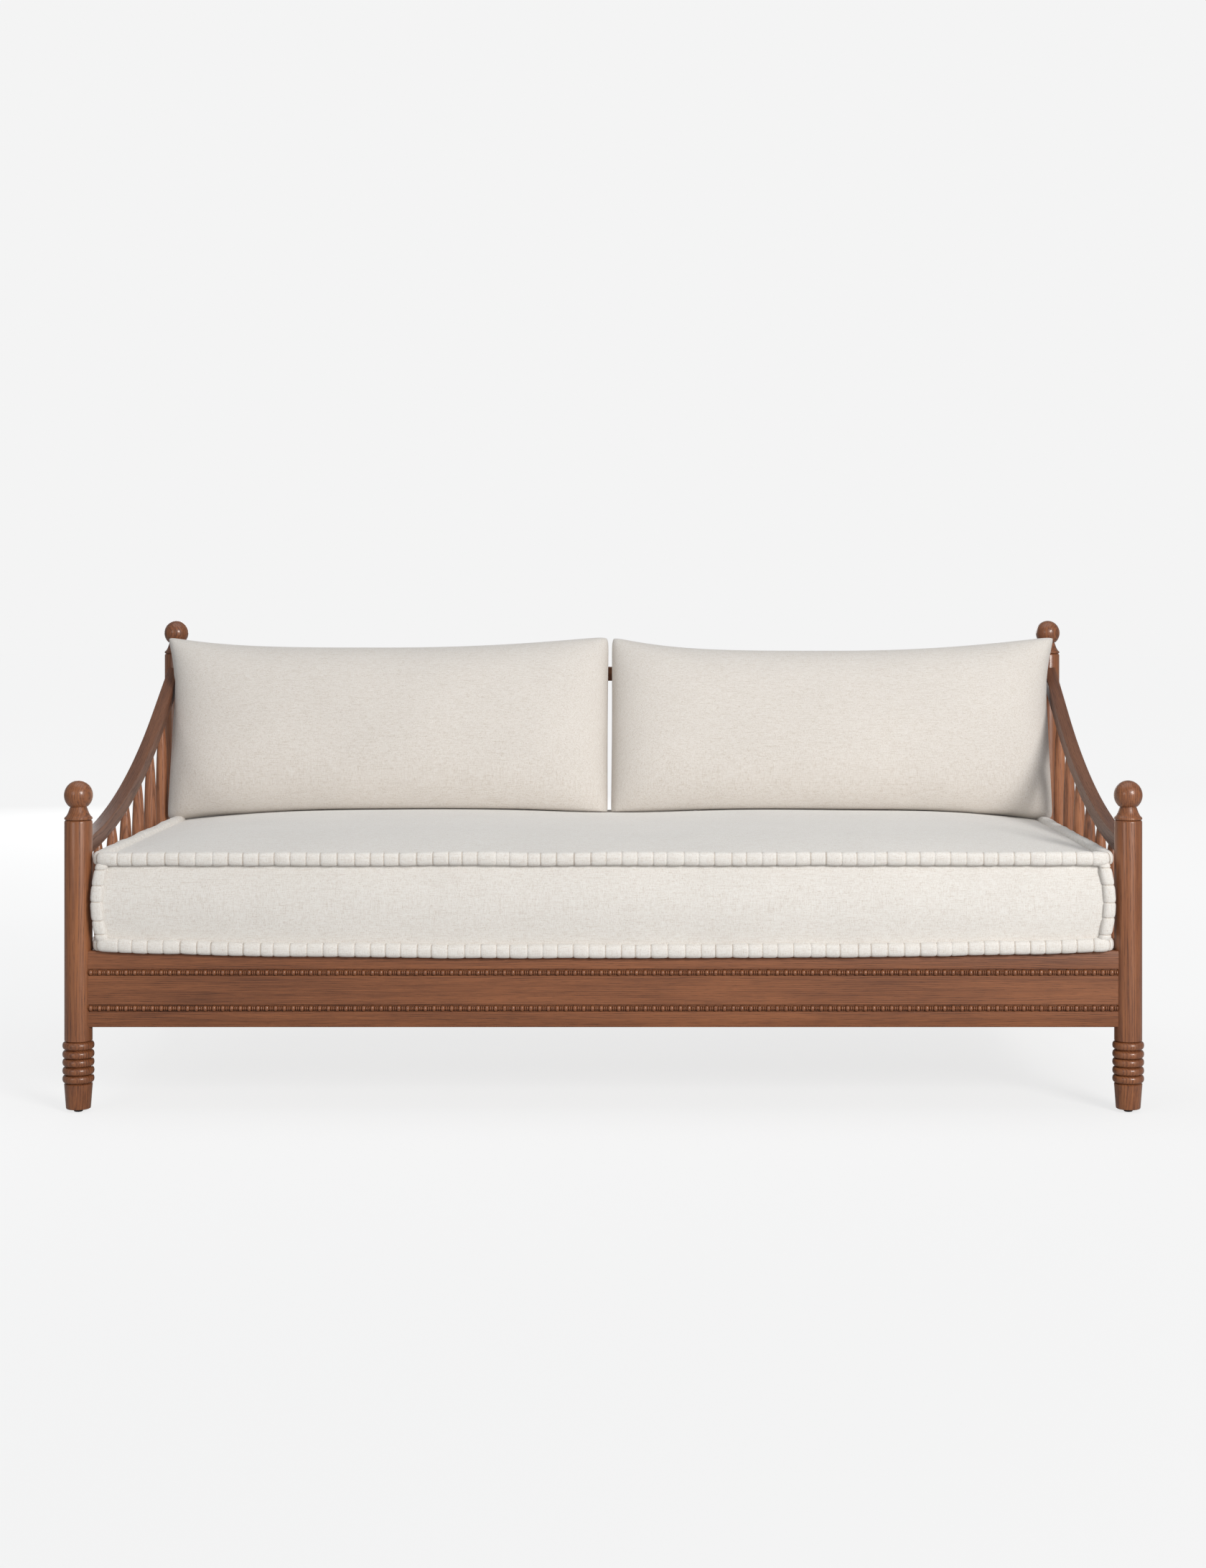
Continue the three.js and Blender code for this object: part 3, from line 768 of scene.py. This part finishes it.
def crown(x, y):
    """How far the top panel stands above its edge, a little less at mid-length."""
    u = min(1, abs(x) / ROLL_IN_X)
    mid = (ROLL_FRONT + ROLL_BACK) / 2
    v = min(1, abs(y - mid) / ((ROLL_BACK - ROLL_FRONT) / 2))
    swell = (1 - u**6) * (1 - v**4) * (1 - 0.26 * math.exp(-((x / 190) ** 2)))
    ripple = noise.noise(Vector((x / 260, y / 200, 1.7))) * 2.2 * min(1, swell * 2)
    return PANEL_CROWN * swell + ripple


def front_sag(x, y):
    """The bottom edge hangs a little over the front rail, most in the middle."""
    forward = max(0, min(1, (ROLL_FRONT + 60 - y) / 60))
    return -12 * forward * (1 - min(1, abs(x) / ROLL_IN_X) ** 3)


def make_mattress_core():
    """Top, bottom and the four boxing faces as one closed, crowned form."""
    counts = (120, 60, 20)
    half = Vector((ROLL_IN_X - 8, (ROLL_BACK - ROLL_FRONT) / 2 - 8, 0))
    mid_y = (ROLL_BACK + ROLL_FRONT) / 2
    index, points, faces = {}, [], []

    def corner(i, j, k):
        if (i, j, k) not in index:
            u, v, w = (2 * i / counts[0] - 1, 2 * j / counts[1] - 1, k / counts[2])
            x, y = u * half.x, mid_y + v * half.y
            bottom = BOTTOM_ROLL_Z - 6 + front_sag(x, y)
            top = PANEL_EDGE + crown(x, y)
            swell = math.sin(math.pi * w) if 0 < w < 1 else 0
            bulge = 14 * swell + 1.5 * noise.noise(Vector((x / 120, y / 120, w * 2))) * swell
            x += math.copysign(bulge, u) if abs(u) == 1 else 0
            y += math.copysign(bulge, v) if abs(v) == 1 else 0
            index[i, j, k] = len(points)
            points.append((x, y, bottom + w * (top - bottom)))
        return index[i, j, k]

    for axis in range(3):
        a, b = [other for other in range(3) if other != axis]
        for end in (0, counts[axis]):
            for i in range(counts[a]):
                for j in range(counts[b]):
                    loop = []
                    for di, dj in ((0, 0), (1, 0), (1, 1), (0, 1)):
                        at = [0, 0, 0]
                        at[axis], at[a], at[b] = end, i + di, j + dj
                        loop.append(corner(*at))
                    faces.append(loop)
    piece = add_piece("mattress_panels", points, faces, LINEN, nodes=["mattress"],
                      slot="mattress_linen", body="mattress", sharp=60)


CORNER_R = 15
STITCH = 29.8


class Rim:
    """The closed line that a rolled edge follows: a rectangle with rounded corners."""

    def __init__(self):
        self.half_x = ROLL_IN_X - CORNER_R
        self.half_y = (ROLL_BACK - ROLL_FRONT) / 2 - CORNER_R
        self.middle_y = (ROLL_BACK + ROLL_FRONT) / 2
        turn = math.pi / 2 * CORNER_R
        self.spans = [turn, 2 * self.half_y, turn, 2 * self.half_x] * 2
        self.length = sum(self.spans)

    def corner_places(self):
        """Distances along the line to the middle of each corner."""
        return [sum(self.spans[:2 * n]) + self.spans[0] / 2 for n in range(4)]

    def at(self, length):
        """The point and its outward direction at a distance along the line."""
        length %= self.length
        signs = ((1, -1), (1, 1), (-1, 1), (-1, -1))
        span = 0
        while length > self.spans[span]:
            length -= self.spans[span]
            span += 1
        n = span // 2
        start = math.pi / 2 * (n - 1)
        if span % 2 == 0:
            angle = start + length / CORNER_R
        else:
            angle = start + math.pi / 2
        out = Vector((math.cos(angle), math.sin(angle), 0))
        centre = Vector((signs[n][0] * self.half_x, self.middle_y + signs[n][1] * self.half_y, 0))
        along = Vector((-out.y, out.x, 0)) * (length if span % 2 else 0)
        return centre + out * CORNER_R + along, out


def roll_section(turn, radius):
    """A point of the roll's squarish section: outwards and upwards."""
    c, s = math.cos(turn), math.sin(turn)
    size = radius / (abs(c) ** 2.7 + abs(s) ** 2.7) ** (1 / 2.7)
    return size * c, size * s


def stitches_along(length, seed):
    """Places of the stitches along an edge, unevenly spaced, and how deep each one pulls."""
    draw = random.Random(seed)
    count = max(1, round(length / STITCH))
    return [((i + 0.5 + draw.uniform(-0.11, 0.11)) * length / count, draw.uniform(0.85, 1.2))
            for i in range(count)]


def rows_between(stitches):
    """Places for rows of points, close together where a stitch pulls the roll in."""
    rows = []
    for place, _ in stitches:
        for step in (0.55, 1.3, 2.4, 4.2, 7.5):
            rows += [place - step, place + step]
        rows.append(place)
    return sorted(rows)


def pull_at(place, stitches):
    """How strongly the stitches pull at a place, from 0 to about 1."""
    total = 0
    for at, depth in stitches:
        gap = abs(place - at)
        if gap < 20:
            total += depth * (0.42 * math.exp(-((gap / 1.2) ** 2)) + 0.58 * math.exp(-gap / 5))
    return total


def thread_loop(centre, out, up, radius, arc_span):
    """A stitch of thread round a roll, in the plane of out and up, as a thin tube.

    arc_span is where it starts and ends, in degrees from out towards up."""
    points, faces = [], []
    steps, sides, thin = 10, 5, 0.65
    along = up.cross(out).normalized()
    for k in range(steps + 1):
        turn = math.radians(arc_span[0] + (arc_span[1] - arc_span[0]) * k / steps)
        outward, upward = roll_section(turn, radius + 0.15)
        middle_point = centre + out * outward + up * upward
        normal = out * math.cos(turn) + up * math.sin(turn)
        for i in range(sides):
            angle = math.tau * i / sides
            points.append(middle_point + (normal * math.cos(angle) + along * math.sin(angle)) * thin)
    for k in range(steps):
        for i in range(sides):
            j = (i + 1) % sides
            faces.append([k * sides + i, k * sides + j, (k + 1) * sides + j, (k + 1) * sides + i])
    faces.append(list(range(sides)))
    faces.append([steps * sides + i for i in range(sides)])
    return points, faces


def join(parts):
    """Several point and face lists as one."""
    points, faces = [], []
    for more_points, more_faces in parts:
        start = len(points)
        points += more_points
        faces += [[start + i for i in face] for face in more_faces]
    return points, faces


def make_roll(which, z_of, seed):
    """The rolled and stitched edge round the top or the bottom of the mattress."""
    rim = Rim()
    mitres = [(place, 1.5) for place in rim.corner_places()]
    stitches = [(place, depth) for place, depth in stitches_along(rim.length, seed)
                if all(abs(place - mitre) > 16 for mitre, _ in mitres)]
    stitches = sorted(stitches + mitres)
    sides = 24
    points, faces = [], []
    rows = rows_between(stitches)
    threads = []
    for length, _ in stitches:
        place, out = rim.at(length)
        base = Vector((place.x, place.y, z_of(place.x, place.y)
                       + noise.noise(Vector((length / 90, seed, 0.5))) * 1.6))
        span = (-62, 96) if which == "top" else (-70, 84)
        threads.append(thread_loop(base, out * 0.95, Vector((0, 0, 1)), ROLL_R * 0.84, span))
    near = 0
    for length in rows:
        while near + 1 < len(stitches) and stitches[near + 1][0] < length - 20:
            near += 1
        pull = pull_at(length, stitches[near:near + 4])
        place, out = rim.at(length)
        wave = noise.noise(Vector((length / 90, seed, 0.5)))
        lump = noise.noise(Vector((length / 31, seed, 7.5)))
        base = Vector((place.x, place.y, z_of(place.x, place.y) + wave * 1.6))
        for i in range(sides):
            turn = math.tau * i / sides
            radius = ROLL_R * (1 - 0.16 * pull) + 0.5 * wave + 0.5 * lump
            outward, up = roll_section(turn, radius)
            point = base + out * (outward * 0.95 + lump)
            point.z += up
            if which == "bottom":
                point.z = max(point.z, rest_height(point))
            points.append(tuple(point))
    for k in range(len(rows)):
        for i in range(sides):
            j, m = (i + 1) % sides, (k + 1) % len(rows)
            faces.append([k * sides + i, k * sides + j, m * sides + j, m * sides + i])
    piece = add_piece(f"rolled_edge_{which}", points, faces, LINEN, slot="mattress_linen",
                      body="mattress", sharp=180)
    add_piece(f"edge_stitches_{which}", *join(threads), THREAD_PAINTED_SHADE, slot="mattress_linen",
              body="mattress", sharp=180)


def rest_height(point):
    """The bottom roll lies on the rails and slats, and may hang in front of the front rail."""
    rail = corners("front_rail")[0].y
    return MATTRESS_LOW.z if point.y > rail - 1 else 0


def make_corner_roll(side_x, side_y):
    """An upright roll at one corner, between the top and bottom ones, bowed outwards.

    Returns its stitches."""
    x0 = side_x * (ROLL_IN_X - 9)
    y0 = (ROLL_FRONT + 3) if side_y < 0 else (ROLL_BACK - 3)
    out = Vector((side_x, side_y * 0.5, 0))
    low, high = BOTTOM_ROLL_Z + 2, PANEL_EDGE - 5
    tall = high - low
    stitches = stitches_along(tall, f"corner {side_x} {side_y}")
    rows = [place for place in rows_between(stitches) if 5 < place < tall - 5]
    rows = [0, 1.5, 4, *rows, tall - 4, tall - 1.5, tall]
    stitch_places = {place for place, _ in stitches}
    sides = 24
    points, faces, threads = [], [], []
    for length in rows:
        pull = pull_at(length, stitches)
        bow = 10.5 * math.sin(math.pi * length / tall)
        end = min(length, tall - length) / 13
        width = 12.4 * (1 - 0.22 * pull) * (math.sqrt(1 - (1 - end) ** 2) if end < 1 else 1)
        base = Vector((x0, y0, low + length)) + out * bow
        if length in stitch_places and 5 < length < tall - 5:
            threads.append(thread_loop(base, Vector((side_x, 0, 0)), Vector((0, side_y, 0)),
                                       width + 0.3, (-40, 130)))
        for i in range(sides):
            a, b = roll_section(math.tau * i / sides, width + 0.3)
            points.append((base.x + a, base.y + b, base.z))
    for k in range(len(rows) - 1):
        for i in range(sides):
            j = (i + 1) % sides
            faces.append([k * sides + i, k * sides + j, (k + 1) * sides + j, (k + 1) * sides + i])
    faces.append(list(range(sides)))
    faces.append([(len(rows) - 1) * sides + i for i in range(sides)])
    hands = ("left" if side_x < 0 else "right", "front" if side_y < 0 else "back")
    piece = add_piece(f"rolled_corner_{hands[1]}_{hands[0]}", points, faces, LINEN,
                      slot="mattress_linen", body="mattress", sharp=180)
    return threads


def make_mattress():
    make_mattress_core()
    make_roll("top", lambda x, y: PANEL_EDGE - 1, 3)
    make_roll("bottom", lambda x, y: BOTTOM_ROLL_Z + front_sag(x, y), 8)
    threads = []
    for side_x in (-1, 1):
        for side_y in (-1, 1):
            threads += make_corner_roll(side_x, side_y)
    add_piece("edge_stitches_corners", *join(threads), THREAD_PAINTED_SHADE, slot="mattress_linen",
              body="mattress", sharp=180)


# ---------------------------------------------------------------- back cushions

LEAN = math.radians(17.5)
CUSHION_FOOT = Vector((-3, 292, 485))  # where the two cushions meet, at their lower rim
CUSHION_TALL = 430
CUSHION_HALF_THICK = 92
CELL = 8.5
MOST_SWELL = 26  # how far the pressure may move a point
ARM_SIDE = 985  # as far out as a cushion may reach beside the arm's spindles


def cushion_point(u, v, face, side):
    """A point of a cushion in its own plane: across the bed, up the cushion, and forwards.

    u runs from the inner end to the outer one, v from foot to top, both from -1 to 1."""
    ear = max(0, (v - 0.2) / 0.8) ** 2.2
    heel = max(0, -v) ** 3
    outer = (982 + 27 * ear + 2 * heel) + (4 if side > 0 else 1)
    inner = 0.4 + 1.4 * (1 - v * v)
    reach = inner + (u + 1) / 2 * (outer - inner)
    steepness = 4 if side * u < 0 else 2.1
    sag = (36 if side > 0 else 28) * (1 - abs(u) ** steepness) * max(0, v)
    up = (v + 1) * CUSHION_TALL / 2 - sag
    fill = (max(0, 1 - abs(u) ** 7.5) ** 0.5) * (max(0, 1 - abs(v) ** 3.2) ** 0.52)
    heavy = 1 - 0.1 * v  # the filling settles towards the foot
    round_off = 7 * abs(u) ** 50 * abs(v) ** 20  # the corners are turned, not sharp
    reach -= math.copysign(round_off, u)
    up -= math.copysign(round_off, v)
    return Vector((side * reach, up, face * fill * heavy * CUSHION_HALF_THICK))


def cushion_case(side, cell):
    """Two panels joined at their rims: points, faces and which points are on the rim."""
    across, up = round(990 / cell), round(CUSHION_TALL / cell)
    points, faces, index, rim = [], [], {}, []

    def at(i, j, face):
        edge = i in (0, across) or j in (0, up)
        key = (i, j, 0 if edge else face)
        if key not in index:
            index[key] = len(points)
            if edge:
                rim.append(len(points))
            points.append(cushion_point(2 * i / across - 1, 2 * j / up - 1, key[2], side))
        return index[key]

    for face in (1, -1):
        for i in range(across):
            for j in range(up):
                loop = [at(i, j, face), at(i + 1, j, face), at(i + 1, j + 1, face),
                        at(i, j + 1, face)]
                faces.append(loop if face * side > 0 else loop[::-1])
    return points, faces, rim


def blow_up(points, faces, rim, seed, frames=20):
    """Cloth under pressure, a little larger than its case, held at the seam so that the spare
    cloth gathers there. The result is kept as new points."""
    mesh = bpy.data.meshes.new("case")
    mesh.from_pydata([point * MM for point in points], [], faces)
    case = bpy.data.objects.new("case", mesh)
    bpy.context.collection.objects.link(case)
    held = case.vertex_groups.new(name="seam")
    held.add(rim, 1.0, "ADD")
    case.shape_key_add(name="Basis")
    spare = case.shape_key_add(name="spare")
    for i, point in enumerate(points):
        shake = noise.noise_vector(Vector((point.x / 45, point.y / 45, seed))) * 1.2
        spare.data[i].co = (Vector((point.x * 1.003, point.y * 1.003, point.z)) + shake * 0.5) * MM
    modifier = case.modifiers.new("cloth", "CLOTH")
    cloth = modifier.settings
    cloth.rest_shape_key = spare
    cloth.vertex_group_mass = "seam"
    cloth.quality = 7
    cloth.mass = 0.3
    cloth.tension_stiffness = 30
    cloth.compression_stiffness = 30
    cloth.shear_stiffness = 12
    cloth.bending_stiffness = 5
    cloth.use_pressure = True
    cloth.uniform_pressure_force = 4
    cloth.effector_weights.gravity = 0
    modifier.point_cache.frame_start = 1
    modifier.point_cache.frame_end = frames
    for number in range(1, frames + 1):
        bpy.context.scene.frame_set(number)
    made = case.evaluated_get(bpy.context.evaluated_depsgraph_get())
    moved = [vert.co / MM for vert in made.data.vertices]
    bpy.data.objects.remove(case)
    bpy.context.scene.frame_set(1)
    return [held_back(point, place, MOST_SWELL) for point, place in zip(points, moved)]


def held_back(point, place, most):
    """A point's new place, no further than most from where it was."""
    step = place - point
    return point + step * min(1, most / max(step.length, 1e-6))


def make_cushion(hand, seed):
    """A cushion made upright, blown up, leant back and stood on the mattress."""
    side = -1 if hand == "left" else 1
    points, faces, rim = cushion_case(side, CELL)
    points = blow_up(points, faces, rim, seed)
    placed = []
    for across, up, proud in points:
        place = Vector((across,
                        up * math.sin(LEAN) - proud * math.cos(LEAN),
                        up * math.cos(LEAN) + proud * math.sin(LEAN)))
        placed.append(keep_clear(place + CUSHION_FOOT))
    piece = add_piece(f"plump_cushion_{hand}", placed, faces, CUSHION_LINEN_PAINTED_SHADE,
                      nodes=[f"back_cushion_{hand}"], slot="cushion_linen",
                      body=f"back_cushion_{hand}", sharp=180)
    smooth = piece.modifiers.new("smooth", "SUBSURF")
    smooth.levels = smooth.render_levels = 1


def keep_clear(point):
    """Moves a cushion's point off the mattress below, the arm beside and the rail behind."""
    if abs(point.x) < ROLL_IN_X + 8 and point.y < ROLL_BACK:
        point.z = max(point.z, PANEL_EDGE + crown(point.x, point.y) + 1.5)
    arm_height = arm_top(max(-460, min(460, point.y)))[0]
    if point.z < arm_height + 6:
        point.x = max(-ARM_SIDE, min(ARM_SIDE, point.x))
    point.y = min(point.y, corners("back_top_rail")[0].y - 2)
    return point


# ---------------------------------------------------------------- build

make_camera()
make_studio()
make_posts()
make_rails()
make_sides_and_back()
make_base()
make_mattress()
make_cushion("left", 1)
make_cushion("right", 2)
